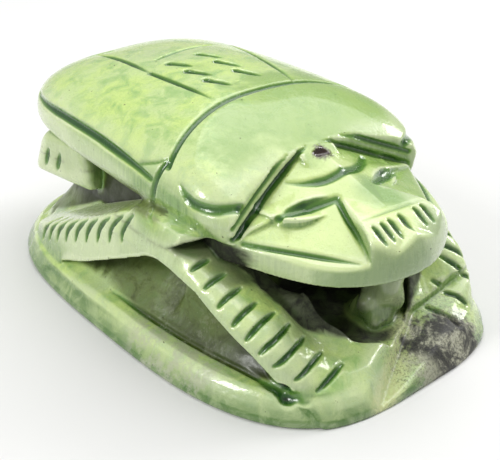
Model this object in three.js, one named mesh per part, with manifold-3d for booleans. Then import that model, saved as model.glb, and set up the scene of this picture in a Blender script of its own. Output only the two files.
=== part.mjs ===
// Scarab seal carved from one block of soapstone: oval base, domed wing cases, pronotum, head and six legs.
// Millimetres, +Z up, head towards -Y, mirror plane X = 0, underside on Z = 0.
import * as THREE from 'three';
import { mergeVertices } from 'three/addons/utils/BufferGeometryUtils.js';
import Module from 'manifold-3d';

const wasm = await Module();
wasm.setup();

// Plan of the block: an oval of two superellipse halves, blunt at both ends.
const HALF_WIDTH = 24.8;
const OVAL_CENTRE_Y = 1.2;
const FRONT_REACH = 36.2;
const REAR_REACH = 33.8;
const FRONT_POWER = 3.2;
const REAR_POWER = 3.1;
const OVAL_SEGMENTS = 56;

// Heights of the main levels.
const RIM_HEIGHT = 3.6;
const WING_FOOT = 21;
const HEAD_UNDERSIDE = 15.6;
const LEG_ROOT_TOP = 20.5;

// Inset of a wall from the oval, by height: rows of height and inset.
const BASE_WALL = [[0, 0], [1, 0.25], [2, 0.8], [3, 1.5], [RIM_HEIGHT, 2]];
const BLANK_WALL = [[1, 1.6], [RIM_HEIGHT, 2.1], [9, 2.3], [15, 3], [20, 4.8], [LEG_ROOT_TOP, 5]];

// Belly between the side pockets: its foot line by Y, and how far it draws in with height.
const BELLY_FOOT = [[-24, 4.8], [-15, 5.2], [-10, 4.4], [-4, 3], [5, 1.9], [30, 1.9]];
const BELLY_RISE = [[3, -0.4], [4.5, 1.6], [6.5, 3.6], [9, 5.6], [12, 7.2], [16, 8.2], [21.5, 8.2]];
const BELLY_REAR = 27.5;

// Dome of the wing cases and pronotum: superellipse plan, blunter in front than behind, flattened on top.
const DOME = {
  halfWidth: 19.1, centreY: 9, frontReach: 30.8, rearReach: 25.9, height: 8.8,
  frontPower: 5.5, rearPower: 3.1, frontCrown: 2, rearCrown: 1.4, shoulderPower: 2.7, blend: 9,
  flatTop: 32.4, flatStartY: 1.5, frontFall: 0.029, rearStartY: 10, rearFall: 0.006, flatBlend: 3.8,
};
const DOME_RINGS = [1, 0.985, 0.95, 0.89, 0.8, 0.68, 0.52, 0.34, 0.17];
const DOME_SEGMENTS = 56;
const LIP_LEVEL = [[-20, 17.8], [-9, 18.6], [-3, 18.8], [2, 19], [20, 20.3]];
const LIP_LEAN = 0.42;

// Front edge of the pronotum in plan: it sweeps forward towards both corners.
const COLLAR_Y = -13;
const COLLAR_SWEEP = 3.6;
const COLLAR_HALF_WIDTH = 16;
const COLLAR_POWER = 1.6;

// Front legs and feet, in angle round (0, LEG_CENTRE_Y) from straight sideways (0) to straight ahead (90).
const LEG_CENTRE_Y = -10;
const LEG_ANGLES = [-14, -6, 3, 14, 25, 33, 40, 46, 52, 60, 68, 77, 86];
const LEG_TOP = [
  [-20, 17.2], [0, 16.9], [9.5, 16.4], [25, 14], [40, 11.3], [52, 7.6], [59, 5.8], [65, 5], [90, 5],
];
const LEG_UNDERSIDE = [[-6, 16], [3, 15.2], [14, 14], [25, 11.2], [35, 8.4], [45, 4.2], [52, 2.4], [60, -2]];
const LEG_INNER = [[0, 15], [40, 12], [60, 9], [90, 5.4]];
const LEG_BACK = [[3.2, 5], [5, 6.2], [7, 7.4], [14, 8.2]];
const LEG_CREST = 6;
const LEG_SHOULDER = 4.2;
const LEG_DROP = 2.4;
const LEG_CREST_SLOPE = 0.12;
const LEG_LOWEST = 2;
const LEG_LEDGE = 2.5;
const LEG_FLOOR = 1.6;

// Shoulder from which the front and middle legs spring.
const LEG_ROOT = { inner: 6, outer: 26, front: -10, back: 2, low: 15 };

// Middle legs, seen from the side: corners as Y and Z.
const MIDDLE_LEG = [[-8.1, 15.4], [15.4, 2.7], [20.4, 7], [-0.2, 17.8]];
const MIDDLE_LEG_OUTER = 26;
const MIDDLE_LEG_INNER = 14.5;

// Hind legs: matching corners of the lower and the upper face.
const HIND_LEG_BOTTOM = [[17.2, 13], [19, 26.3], [11.5, 29.6], [11, 13.5]];
const HIND_LEG_TOP = [[18.2, 14.2], [18, 24.8], [11.5, 28.8], [11, 14.5]];
const HIND_LEG_LEVELS = [13, 20.3];

// Head: half-width in plan narrows from the collar to the snout; the walls are fullest at HEAD_WIDEST.
const HEAD_BACK = -11;
const HEAD_FRONT = -32;
const HEAD_SHOULDER = -15;
const HEAD_HALF_WIDTH = 16.6;
const HEAD_TAPER = 7.2;
const HEAD_WIDEST = 17.2;
const HEAD_LEVELS = [HEAD_UNDERSIDE, 17.2, 19, 20.5, 22, 24, 27];
const HEAD_BULGE = 0.07;
const HEAD_PROFILE = [
  [-32.3, 16.8], [-31.6, 19], [-30.2, 20.7], [-28.3, 21.9],
  [-20, 22.7], [-17.6, 22.9], [-13.1, 26], [-10, 27],
];
const SNOUT_HALF_WIDTH = [[-33, 7.8], [-29, 6.3], [-21, 3.4], [-10, 3.1]];
const CHEEK_POINT = [16, -17.6, 18.7];
const CHEEK_NORMAL = [0.341, -0.259, 0.903];
const BROW_POINT = [16, 0, 19.6];
const BROW_NORMAL = [0.3, 0, 0.95];
const BROW_EDGE = [[3.1, -20.3], [18, -16.1]];

// Hollow under the head, gap over the leg roots, and the prop left under the snout.
const HOLLOW = { halfWidth: 9.5, reach: 13.4, centreY: -16, back: -13, floor: 4.2, roof: 17 };
const ROOT_GAP = { inner: 10, outer: 30, back: -8.6, front: -19, low: 16.9, high: 18 };
const PROP = { x: 4, y: -24.5, radius: 2.6, low: 3, high: 16.5, lean: 0.15 };

// Broad V cut that parts the front feet, from the lip of the hollow down to the front edge.
const FOOT_CUT = {
  from: [4, -28.6, 5], to: [-7.6, -34.2, 1.2], up: [-0.25, -0.55, 0.8], width: 3.4, depth: 1.2,
};

// Carved lines: widths and depths of the V cuts.
const LIFT = 0.5;
const BROAD_CUT = { width: 1.5, depth: 0.9 };
const FINE_CUT = { width: 1, depth: 0.6 };
const NOTCH_CUT = { width: 1.1, depth: 0.7 };
const LEG_NOTCHES = 9;
const SNOUT_NOTCHES = 6;
const WING_LINE = { y: -1.3, bow: 4.8, halfWidth: 17.4, power: 1.9 };
const WING_STRIPS = [[[-6.6, 21], [-6, -0.8]], [[12.2, 21], [7.2, -1.3]]];
const RIM_LINE = { from: -3.6, to: 28.4, low: 23.2, rise: 0.9 };
const EDGE_LINE = { from: -9.6, to: -15.6, low: 22.9, rise: 0 };
const COLLAR_LINES = [
  { from: 1.2, to: 16, high: 26.2, fall: 0.46, up: [0.3, -0.65, 0.7], cut: BROAD_CUT },
  { from: 4.6, to: 16.6, high: 28.4, fall: 0.5, up: [0.35, -0.9, 0.3], cut: FINE_CUT },
];
const CHEEK_LINES = [[[4, -21.8], [6.9, -29.6]], [[15.2, -17.6], [7.6, -28.8]]];
const FOREHEAD_ARC = { halfWidth: 6.6, y: -19.2, bow: 4.2 };
const SNOUT_NOTCH = { halfWidth: 4.4, back: -28.2, front: -30.3 };
const FRONT_NOTCH = { from: 12, to: 59, insets: [[2.4, 0.85], [3.6, 0.6], [5, 0.3], [7, 0.1]] };
const MIDDLE_NOTCH = [[[-1.2, 14.3], [21.7, 4]], [[-2.5, 17.8], [18.2, 8]]];

// Edges shorter than this are drawn together when solids are joined or cut.
const WELD = 0.02;

const GLAZE = new THREE.MeshStandardMaterial({ color: 0xa9c477, roughness: 0.3, metalness: 0 });

// ---- Measures ----

// Straight-line reading of a table of rows [t, value]; past its ends the end value holds.
function read(table, t) {
  if (t <= table[0][0]) return table[0][1];
  for (let i = 1; i < table.length; i += 1) {
    const [t0, v0] = table[i - 1];
    const [t1, v1] = table[i];
    if (t <= t1) return v0 + (v1 - v0) * (t - t0) / (t1 - t0);
  }
  return table[table.length - 1][1];
}

// Root of a rising function between low and high.
function bisect(rising, low, high) {
  let [a, b] = [low, high];
  for (let i = 0; i < 40; i += 1) {
    const middle = (a + b) / 2;
    if (rising(middle) < 0) a = middle;
    else b = middle;
  }
  return (a + b) / 2;
}

const signedPower = (value, power) => Math.sign(value) * Math.abs(value) ** power;

function ovalPoint(turn, inset) {
  const [c, s] = [Math.cos(turn * 2 * Math.PI), Math.sin(turn * 2 * Math.PI)];
  const [reach, power] = s < 0 ? [FRONT_REACH, FRONT_POWER] : [REAR_REACH, REAR_POWER];
  const x = (HALF_WIDTH - inset) * signedPower(c, 2 / power);
  const y = OVAL_CENTRE_Y + (reach - inset) * signedPower(s, 2 / power);
  return [x, y];
}

// Point of the oval, drawn in by an inset, in a direction from the leg centre.
function legPoint(angle, inset, side) {
  const [c, s] = [Math.cos(angle * Math.PI / 180), -Math.sin(angle * Math.PI / 180)];
  const past = (distance) => {
    const y = LEG_CENTRE_Y + distance * s - OVAL_CENTRE_Y;
    const [reach, power] = y < 0 ? [FRONT_REACH, FRONT_POWER] : [REAR_REACH, REAR_POWER];
    const across = Math.abs(distance * c) / (HALF_WIDTH - inset);
    return across ** power + (Math.abs(y) / (reach - inset)) ** power - 1;
  };
  const distance = bisect(past, 0, 60);
  return [side * distance * c, LEG_CENTRE_Y + distance * s];
}

function legTop(angle, inset) {
  const over = Math.min(Math.max((LEG_CREST - inset) / LEG_SHOULDER, 0), 1.3);
  return read(LEG_TOP, angle) + (inset - LEG_CREST) * LEG_CREST_SLOPE - LEG_DROP * over ** 2.4;
}

function softMax(a, b, width) {
  const near = Math.max(width - Math.abs(a - b), 0) / width;
  return Math.max(a, b) + near * near * width / 4;
}

// Distance-like measure of the dome: negative inside.
function domeGap(x, y, z) {
  const reach = y < DOME.centreY ? DOME.frontReach : DOME.rearReach;
  const t = Math.min(Math.max((y - DOME.centreY + DOME.blend) / (2 * DOME.blend), 0), 1);
  const back = t * t * (3 - 2 * t);
  const m = DOME.frontPower + (DOME.rearPower - DOME.frontPower) * back;
  const k = DOME.frontCrown + (DOME.rearCrown - DOME.frontCrown) * back;
  const u = Math.abs(x) / DOME.halfWidth + 1e-6;
  const v = Math.abs(y - DOME.centreY) / reach + 1e-6;
  const w = Math.max(z - WING_FOOT, 0) / DOME.height;
  const plan = u ** m + v ** m;
  const slope = k / m * plan ** (k / m - 1);
  const steepness = Math.hypot(
    slope * m * u ** (m - 1) / DOME.halfWidth,
    slope * m * v ** (m - 1) / reach,
    DOME.shoulderPower * w ** (DOME.shoulderPower - 1) / DOME.height,
  );
  const crown = (plan ** (k / m) + w ** DOME.shoulderPower - 1) / Math.max(steepness, 0.03);
  const ahead = Math.max(DOME.flatStartY - y, 0);
  const behind = Math.max(y - DOME.rearStartY, 0);
  const top = DOME.flatTop - DOME.frontFall * ahead ** 2 - DOME.rearFall * behind ** 2;
  const flat = (z - top) / Math.hypot(1, 2 * DOME.frontFall * ahead);
  return softMax(crown, flat, DOME.flatBlend);
}

const domeHeight = (x, y) => bisect((z) => domeGap(x, y, z), WING_FOOT, DOME.flatTop);
const domeSide = (y, z) => bisect((x) => domeGap(x, y, z), 8, 24);
const collarY = (x) => COLLAR_Y - COLLAR_SWEEP * (Math.abs(x) / COLLAR_HALF_WIDTH) ** COLLAR_POWER;

// Reach of the dome's plan in a direction, before it is scaled to a ring.
function domePlan(turn) {
  const [c, s] = [Math.cos(turn * 2 * Math.PI), Math.sin(turn * 2 * Math.PI)];
  const point = (reach) => {
    const depth = s < 0 ? DOME.frontReach : DOME.rearReach;
    return [DOME.halfWidth * reach * c, DOME.centreY + depth * reach * s];
  };
  const reach = bisect((r) => domeGap(...point(r), WING_FOOT), 0.5, 1.3);
  return (scale) => point(reach * scale);
}

// List made by a function of the place in it and of the share of the way along it.
const times = (count, make) => Array.from({ length: count }, (_, i) => make(i, i / Math.max(count - 1, 1)));

// ---- Solids ----

function solid(geometry) {
  const bare = geometry.clone();
  bare.deleteAttribute('normal');
  bare.deleteAttribute('uv');
  const merged = mergeVertices(bare);
  return new wasm.Manifold(new wasm.Mesh({
    numProp: 3,
    vertProperties: merged.attributes.position.array,
    triVerts: new Uint32Array(merged.index.array),
    tolerance: WELD,
  }));
}

// Triangles that close a ring of points lying about in one plane.
function capFaces(ring) {
  const points = ring.map((p) => new THREE.Vector3(...p));
  const normal = new THREE.Vector3();
  points.forEach((p, i) => normal.add(p.clone().cross(points[(i + 1) % points.length])));
  const turn = new THREE.Quaternion().setFromUnitVectors(normal.normalize(), new THREE.Vector3(0, 0, 1));
  const flat = points.map((p) => p.applyQuaternion(turn));
  return THREE.ShapeUtils.triangulateShape(flat.map((p) => new THREE.Vector2(p.x, p.y)), []);
}

// Closed body through rings that have the same number of points.
function loft(rings) {
  const count = rings[0].length;
  const last = (rings.length - 1) * count;
  const faces = [];
  for (let r = 0; r + 1 < rings.length; r += 1) {
    for (let i = 0; i < count; i += 1) {
      const [a, b] = [r * count + i, r * count + (i + 1) % count];
      faces.push([a, b, b + count], [a, b + count, a + count]);
    }
  }
  capFaces(rings[0]).forEach(([a, b, c]) => faces.push([a, c, b]));
  capFaces(rings[rings.length - 1]).forEach(([a, b, c]) => faces.push([last + a, last + b, last + c]));
  const points = rings.flat().map((p) => new THREE.Vector3(...p));
  const volume = faces.reduce((sum, [a, b, c]) => sum + points[a].dot(points[b].clone().cross(points[c])), 0);
  const outward = volume > 0 ? faces : faces.map(([a, b, c]) => [a, c, b]);
  const geometry = new THREE.BufferGeometry().setFromPoints(points);
  geometry.setIndex(outward.flat());
  return solid(geometry);
}

// Upright prism over a plan outline of [x, y] points.
function plate(outline, low, high) {
  const shape = new THREE.Shape(outline.map(([x, y]) => new THREE.Vector2(x, y)));
  const prism = new THREE.ExtrudeGeometry(shape, { depth: high - low, bevelEnabled: false });
  return solid(prism.translate(0, 0, low));
}

// Sideways prism over a side outline of [y, z] points.
function sideways(outline, from, to) {
  return loft([from, to].map((x) => outline.map(([y, z]) => [x, y, z])));
}

// Block that fills everything beyond a plane.
function beyond(point, normal) {
  const size = 150;
  const turn = new THREE.Quaternion().setFromUnitVectors(
    new THREE.Vector3(0, 0, 1),
    new THREE.Vector3(...normal).normalize(),
  );
  const block = new THREE.BoxGeometry(size, size, size).translate(0, 0, size / 2);
  return solid(block.applyQuaternion(turn).translate(...point));
}

const join = (solids) => solids.reduce((whole, next) => whole.add(next));
const bothSides = (make) => join([make(-1), make(1)]);
const mirrored = (point, side) => [side * point[0], point[1], point[2]];

// V cut swept along stations of a surface point and its outward direction; it can fade at both ends.
function groove(stations, cut, fade = 1) {
  const rings = stations.map(({ at, up }, i) => {
    const before = stations[Math.max(i - 1, 0)].at;
    const after = stations[Math.min(i + 1, stations.length - 1)].at;
    const along = after.clone().sub(before).normalize();
    const across = along.cross(up).normalize();
    const end = i === 0 || i === stations.length - 1;
    const size = end ? fade : 1;
    const half = cut.width / 2 * size * (1 + LIFT / cut.depth);
    const crest = at.clone().addScaledVector(up, LIFT);
    return [
      crest.clone().addScaledVector(across, half).toArray(),
      crest.clone().addScaledVector(across, -half).toArray(),
      at.clone().addScaledVector(up, -cut.depth * size).toArray(),
    ];
  });
  return loft(rings);
}

function onDome(x, y, z) {
  const step = 0.05;
  const slope = [[step, 0, 0], [0, step, 0], [0, 0, step]]
    .map(([dx, dy, dz]) => domeGap(x + dx, y + dy, z + dz) - domeGap(x - dx, y - dy, z - dz));
  return { at: new THREE.Vector3(x, y, z), up: new THREE.Vector3(...slope).normalize() };
}

const onTop = (x, y) => onDome(x, y, domeHeight(x, y));
const onFlank = (side, y, z) => onDome(side * domeSide(y, z), y, z);

// Stations of a straight stroke on a flat face.
function stroke(from, to, normal) {
  const up = new THREE.Vector3(...normal).normalize();
  return [from, to].map((p) => ({ at: new THREE.Vector3(...p), up }));
}

// ---- Body ----

// Oval block whose wall follows rows of height and inset: the base, and the blank of the legs' outer faces.
function ovalBlock(wall) {
  const ring = ([z, inset]) => times(OVAL_SEGMENTS, (i) => [...ovalPoint(i / OVAL_SEGMENTS, inset), z]);
  return loft(wall.map(ring));
}

function belly() {
  const rings = BELLY_RISE.map(([z, rise]) => times(OVAL_SEGMENTS, (i) => {
    let inset = rise;
    times(4, () => {
      const [, y] = ovalPoint(i / OVAL_SEGMENTS, inset);
      inset = rise + read(BELLY_FOOT, y);
    });
    return [...ovalPoint(i / OVAL_SEGMENTS, inset), z];
  }));
  return loft(rings).subtract(beyond([0, BELLY_REAR, 0], [0, 1, 0]));
}

function dome() {
  const plans = times(DOME_SEGMENTS, (i) => domePlan(i / DOME_SEGMENTS));
  const rings = DOME_RINGS.map((scale) => plans.map((plan) => {
    const [x, y] = plan(scale);
    return [x, y, scale === 1 ? WING_FOOT : domeHeight(x, y)];
  }));
  const lip = plans.map((plan) => {
    const [, edgeY] = plan(1);
    const z = read(LIP_LEVEL, edgeY);
    const [x, y] = plan(1 - (WING_FOOT - z) * LIP_LEAN / DOME.halfWidth);
    return [x, y, z];
  });
  const collar = times(13, (i, t) => 24 * (1 - 2 * t)).map((x) => [x, collarY(x)]);
  const ahead = plate([[-24, -45], [24, -45], ...collar], 12, 36);
  return loft([lip, ...rings]).subtract(ahead);
}

// ---- Legs ----

function legSection(angle, side) {
  const low = Math.max(read(LEG_UNDERSIDE, angle), LEG_LOWEST);
  const inner = read(LEG_INNER, angle);
  const ledge = Math.max(low - LEG_LEDGE, LEG_LOWEST);
  const top = (inset) => [inset, legTop(angle, inset)];
  const wall = (inset) => [inset, Math.max(legTop(angle, inset), low + 0.1 * inset)];
  const behind = (z, clear) => [Math.min(read(LEG_BACK, z), inner - clear), z];
  const foot = [[inner, LEG_FLOOR], [Math.min(5, inner - 0.4), LEG_FLOOR]];
  const back = [behind(Math.min(5, ledge), 0.3), behind(Math.min(7, ledge), 0.3), behind(ledge, 0.2)];
  const under = [[4.7, ledge], [2.2, low], [-0.5, low - 0.05]];
  const outer = [-0.5, 1.2, 2.6, 4.2].map(wall);
  const outline = [...outer, top(LEG_CREST), top(inner), ...foot, ...back, ...under];
  return outline.map(([inset, z]) => [...legPoint(angle, inset, side), z]);
}

// One horseshoe: left leg, both front feet, right leg.
function frontLegs(block) {
  const left = LEG_ANGLES.map((angle) => legSection(angle, -1));
  const right = [...LEG_ANGLES].reverse().map((angle) => legSection(angle, 1));
  return loft([...left, ...right]).intersect(block);
}

function legRoots(block) {
  const { inner, outer, front, back, low } = LEG_ROOT;
  const corners = [[inner, front], [outer, front], [outer, back], [inner, back]];
  const root = (side) => plate(corners.map(([x, y]) => [side * x, y]), low, LEG_ROOT_TOP);
  return bothSides(root).intersect(block);
}

function middleLegs(block) {
  const leg = (side) => sideways(MIDDLE_LEG, side * MIDDLE_LEG_INNER, side * MIDDLE_LEG_OUTER);
  return bothSides(leg).intersect(block);
}

function hindLegs() {
  const corners = [HIND_LEG_BOTTOM, HIND_LEG_TOP];
  const leg = (side) => corners.map((face, i) => face.map(([x, y]) => [side * x, y, HIND_LEG_LEVELS[i]]));
  return bothSides((side) => loft(leg(side)));
}

// ---- Head ----

function headPlan(inset) {
  const rows = 9;
  const edge = times(rows, (i, t) => {
    const ahead = Math.sin(t * Math.PI / 2);
    const y = HEAD_SHOULDER + (HEAD_FRONT - HEAD_SHOULDER + inset) * ahead;
    const half = (HEAD_HALF_WIDTH - HEAD_TAPER * ahead) * Math.sqrt(1 - ahead ** 6 * 0.97) - inset;
    return [Math.max(half, 1), y];
  });
  const right = [[HEAD_HALF_WIDTH - inset, HEAD_BACK], ...edge];
  return [...right, ...right.map(([x, y]) => [-x, y]).reverse()];
}

function headBlock() {
  return loft(HEAD_LEVELS.map((z) => {
    const inset = HEAD_BULGE * (z - HEAD_WIDEST) ** 2;
    return headPlan(inset).map(([x, y]) => [x, y, z]);
  }));
}

function head() {
  const block = headBlock();
  const crown = sideways([...HEAD_PROFILE, [HEAD_PROFILE.at(-1)[0], 12], [HEAD_PROFILE[0][0], 12]], -20, 20);
  const cheeks = [-1, 1].map((side) => beyond(mirrored(CHEEK_POINT, side), mirrored(CHEEK_NORMAL, side)));
  const brows = [-1, 1].map((side) => beyond(mirrored(BROW_POINT, side), mirrored(BROW_NORMAL, side)));
  const snoutEdge = SNOUT_HALF_WIDTH.map(([y, x]) => [x, y]);
  const snout = plate([...snoutEdge, ...snoutEdge.map(([x, y]) => [-x, y]).reverse()], 10, 30);
  const browEdge = [...BROW_EDGE, [18, HEAD_BACK + 1]];
  const browPlan = plate([...browEdge.map(([x, y]) => [-x, y]).reverse(), ...browEdge], 10, 30);
  const cheekPart = block.subtract(join(cheeks));
  const snoutPart = block.intersect(crown).intersect(snout);
  const browPart = block.intersect(crown).intersect(browPlan).subtract(join(brows));
  return join([cheekPart, snoutPart, browPart]);
}

// ---- Hollows ----

function hollow() {
  const arc = times(13, (i, t) => Math.PI * (1 + t));
  const { halfWidth, reach, centreY, back, floor, roof } = HOLLOW;
  const outline = arc.map((a) => [halfWidth * Math.cos(a), centreY + reach * Math.sin(a)]);
  return plate([...outline, [halfWidth, back], [-halfWidth, back]], floor, roof);
}

function rootGaps() {
  const { inner, outer, back, front, low, high } = ROOT_GAP;
  return bothSides((side) => plate([[inner, back], [inner, front], [outer, front], [outer, back]]
    .map(([x, y]) => [side * x, y]), low, high));
}

function prop() {
  const { x, y, radius, low, high, lean } = PROP;
  const post = new THREE.CylinderGeometry(radius, radius, high - low, 10).rotateX(Math.PI / 2 + lean);
  return solid(post.translate(x, y, (high + low) / 2));
}

// ---- Carved lines ----

// Line between the wing cases and the pronotum, over the top and down both flanks.
function wingFrontLine() {
  const bow = (x) => WING_LINE.y - WING_LINE.bow * (Math.abs(x) / WING_LINE.halfWidth) ** WING_LINE.power;
  const top = times(17, (i, t) => WING_LINE.halfWidth * (2 * t - 1)).map((x) => onTop(x, bow(x)));
  const down = (side) => [23.6, 22.4, 21.2].map((z) => onFlank(side, bow(WING_LINE.halfWidth + 0.5), z));
  return groove([...down(-1).reverse(), ...top, ...down(1)], BROAD_CUT);
}

// Two lines along the back that part the wing cases, and the bar that joins them behind.
function wingLines() {
  const lines = WING_STRIPS.map(([[x0, y0], [x1, y1]]) => groove(
    times(8, (i, t) => onTop(x0 + (x1 - x0) * t, y0 + (y1 - y0) * t)),
    BROAD_CUT,
  ));
  const [left, right] = WING_STRIPS.map(([[x, y]]) => [x, y]);
  const bar = times(6, (i, t) => onTop(left[0] + 3 + (right[0] - left[0] - 6) * t, left[1] - 3));
  return join([...lines, groove(bar, FINE_CUT, 0.5)]);
}

// Lines along the flanks: rim of the wing cases, and edge of the pronotum.
function flankLine(side) {
  const stations = ({ from, to, low, rise }, count) => times(count, (i, t) => (
    onFlank(side, from + (to - from) * t, low + rise * Math.sin(Math.PI * t))
  ));
  return join([stations(RIM_LINE, 11), stations(EDGE_LINE, 4)].map((line) => groove(line, BROAD_CUT, 0.6)));
}

// Two lines down each side of the head: at the foot of the collar and along its upper edge.
function collarLine(side) {
  return join(COLLAR_LINES.map(({ from, to, high, fall, up, cut }) => groove(times(7, (i, t) => {
    const x = from + (to - from) * t;
    return {
      at: new THREE.Vector3(side * x, collarY(x), high - fall * x),
      up: new THREE.Vector3(side * up[0], up[1], up[2]).normalize(),
    };
  }), cut)));
}

const cheekHeight = (x, y) => CHEEK_POINT[2]
  - (CHEEK_NORMAL[0] * (x - CHEEK_POINT[0]) + CHEEK_NORMAL[1] * (y - CHEEK_POINT[1])) / CHEEK_NORMAL[2];

// Cuts on each cheek: beside the snout, and just inside the outer edge.
function cheekLine(side) {
  return join(CHEEK_LINES.map((ends) => {
    const [from, to] = ends.map(([x, y]) => mirrored([x, y, cheekHeight(x, y)], side));
    return groove(stroke(from, to, mirrored(CHEEK_NORMAL, side)), FINE_CUT);
  }));
}

// Arc across the forehead, notches over the lip of the snout, and the line behind them.
function headLines() {
  const foreheadUp = new THREE.Vector3(0, -0.2, 1).normalize();
  const arc = times(9, (i, t) => FOREHEAD_ARC.halfWidth * (2 * t - 1)).map((x) => {
    const y = FOREHEAD_ARC.y + FOREHEAD_ARC.bow * (x / FOREHEAD_ARC.halfWidth) ** 2;
    const slope = BROW_POINT[2] - BROW_NORMAL[0] / BROW_NORMAL[2] * (Math.abs(x) - BROW_POINT[0]);
    return { at: new THREE.Vector3(x, y, Math.min(read(HEAD_PROFILE, y), slope)), up: foreheadUp };
  });
  const lip = times(SNOUT_NOTCHES, (i, t) => {
    const x = SNOUT_NOTCH.halfWidth * (2 * t - 1);
    const [from, to] = [SNOUT_NOTCH.back, SNOUT_NOTCH.front].map((y) => [x, y, read(HEAD_PROFILE, y)]);
    return groove(stroke(from, to, [0, -0.5, 0.85]), NOTCH_CUT, 0.7);
  });
  return join([groove(arc, FINE_CUT, 0.4), ...lip]);
}

// Notches across the shoulder of each front leg.
function frontNotches(side) {
  return join(times(LEG_NOTCHES, (i, t) => {
    const angle = FRONT_NOTCH.from + (FRONT_NOTCH.to - FRONT_NOTCH.from) * t;
    const [near, far] = [legPoint(angle, 9, side), legPoint(angle, 1, side)];
    const outward = new THREE.Vector3(far[0] - near[0], far[1] - near[1], 0).normalize();
    const stations = FRONT_NOTCH.insets.map(([inset, lean]) => ({
      at: new THREE.Vector3(...legPoint(angle, inset, side), legTop(angle, inset)),
      up: new THREE.Vector3(0, 0, 1 - lean).addScaledVector(outward, lean).normalize(),
    }));
    return groove(stations, NOTCH_CUT, 0.6);
  }));
}

// Slanting notches down the outer face of each middle leg.
function middleNotches(side) {
  const wall = (y, z) => {
    const inset = read(BLANK_WALL, z);
    const [reach, power] = y < OVAL_CENTRE_Y ? [FRONT_REACH, FRONT_POWER] : [REAR_REACH, REAR_POWER];
    const along = Math.abs(y - OVAL_CENTRE_Y) / (reach - inset);
    return new THREE.Vector3(side * (HALF_WIDTH - inset) * (1 - along ** power) ** (1 / power), y, z);
  };
  const up = new THREE.Vector3(side, 0, 0.2).normalize();
  return join(times(LEG_NOTCHES, (i, t) => {
    const [low, high] = MIDDLE_NOTCH.map(([[y0, z0], [y1, z1]]) => [y0 + (y1 - y0) * t, z0 + (z1 - z0) * t]);
    const station = (j, s) => ({
      at: wall(low[0] + (high[0] - low[0]) * s, low[1] + (high[1] - low[1]) * s),
      up,
    });
    return groove(times(3, station), NOTCH_CUT, 0.6);
  }));
}

// ---- Whole piece ----

function scarab() {
  const block = ovalBlock(BLANK_WALL);
  const core = join([ovalBlock(BASE_WALL), belly(), legRoots(block), frontLegs(block), dome()]);
  const opened = core.subtract(join([hollow(), rootGaps()]));
  const carved = join([opened, middleLegs(block), hindLegs(), head(), prop()]);
  const lines = join([
    wingFrontLine(),
    wingLines(),
    headLines(),
    bothSides(flankLine),
    bothSides(collarLine),
    bothSides(cheekLine),
    bothSides(frontNotches),
    bothSides(middleNotches),
    groove(stroke(FOOT_CUT.from, FOOT_CUT.to, FOOT_CUT.up), FOOT_CUT),
  ]);
  const mesh = carved.subtract(lines).getMesh();
  const geometry = new THREE.BufferGeometry();
  geometry.setAttribute('position', new THREE.BufferAttribute(mesh.vertProperties, 3));
  geometry.setIndex(new THREE.BufferAttribute(mesh.triVerts, 1));
  return geometry;
}

const seal = new THREE.Mesh(scarab(), GLAZE);
seal.name = 'scarab';

const part = new THREE.Group();
part.add(seal);
export default part;
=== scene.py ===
import math

import bpy
import numpy as np
from mathutils import Matrix, Vector


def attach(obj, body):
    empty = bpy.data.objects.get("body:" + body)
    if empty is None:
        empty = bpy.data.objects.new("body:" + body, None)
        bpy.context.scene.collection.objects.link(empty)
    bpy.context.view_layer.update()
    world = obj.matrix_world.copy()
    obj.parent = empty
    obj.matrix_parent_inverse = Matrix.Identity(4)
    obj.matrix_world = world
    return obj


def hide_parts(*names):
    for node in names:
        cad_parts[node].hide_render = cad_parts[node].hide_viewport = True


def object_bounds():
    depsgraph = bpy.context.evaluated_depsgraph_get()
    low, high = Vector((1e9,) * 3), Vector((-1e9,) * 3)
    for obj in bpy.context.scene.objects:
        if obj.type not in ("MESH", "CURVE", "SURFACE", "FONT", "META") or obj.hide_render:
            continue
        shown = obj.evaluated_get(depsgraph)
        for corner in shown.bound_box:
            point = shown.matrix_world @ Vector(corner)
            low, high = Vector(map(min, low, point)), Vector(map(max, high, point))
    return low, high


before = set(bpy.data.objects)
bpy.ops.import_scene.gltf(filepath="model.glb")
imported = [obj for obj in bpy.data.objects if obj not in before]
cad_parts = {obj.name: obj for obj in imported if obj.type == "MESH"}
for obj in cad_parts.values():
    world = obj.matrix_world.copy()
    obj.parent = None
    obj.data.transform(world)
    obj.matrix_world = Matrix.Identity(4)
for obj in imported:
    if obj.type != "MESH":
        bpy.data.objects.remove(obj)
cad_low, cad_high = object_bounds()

# Shapes are worked out in millimetres as a signed distance (negative inside the stone), then meshed once.
# +Z up, head towards -Y, and most of the beetle is mirrored in X = 0.
MM = 0.001
NODE = "scarab"
HALF_WIDTH = (cad_high.x - cad_low.x) / 2 / MM
REAR_END = cad_high.y / MM
FRONT_END = -cad_low.y / MM
TOP = cad_high.z / MM
GRID_STEP = 0.24
TRIANGLES = 190000
MARGIN = 1.2

# Plan of the block: two superellipse halves that meet at OVAL_Y.
OVAL_Y = 1.2
FRONT_POWER, REAR_POWER = 3.2, 3.1
TINY = 1e-6
FAR_INSIDE = -1e3

# Heights of the main levels.
RIM = 3.6
WING_FOOT = 21.0
HEAD_UNDERSIDE = 15.6

# Profiles are two lists for read(): places, and the values there.
# Factors named EVEN bring the slope of a warped distance back near 1.
BASE_WALL = [0, 0.4, 1, 2, 3, RIM], [0.12, 0, 0.2, 0.8, 1.5, 2.2]
BLANK_WALL = [0, 1, 2, 3, RIM, 9, 15, 20], [0, 0.25, 0.8, 1.5, 1.8, 2.2, 3.0, 4.8]
BASE_EVEN, BLANK_EVEN = 0.9, 0.95

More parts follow.
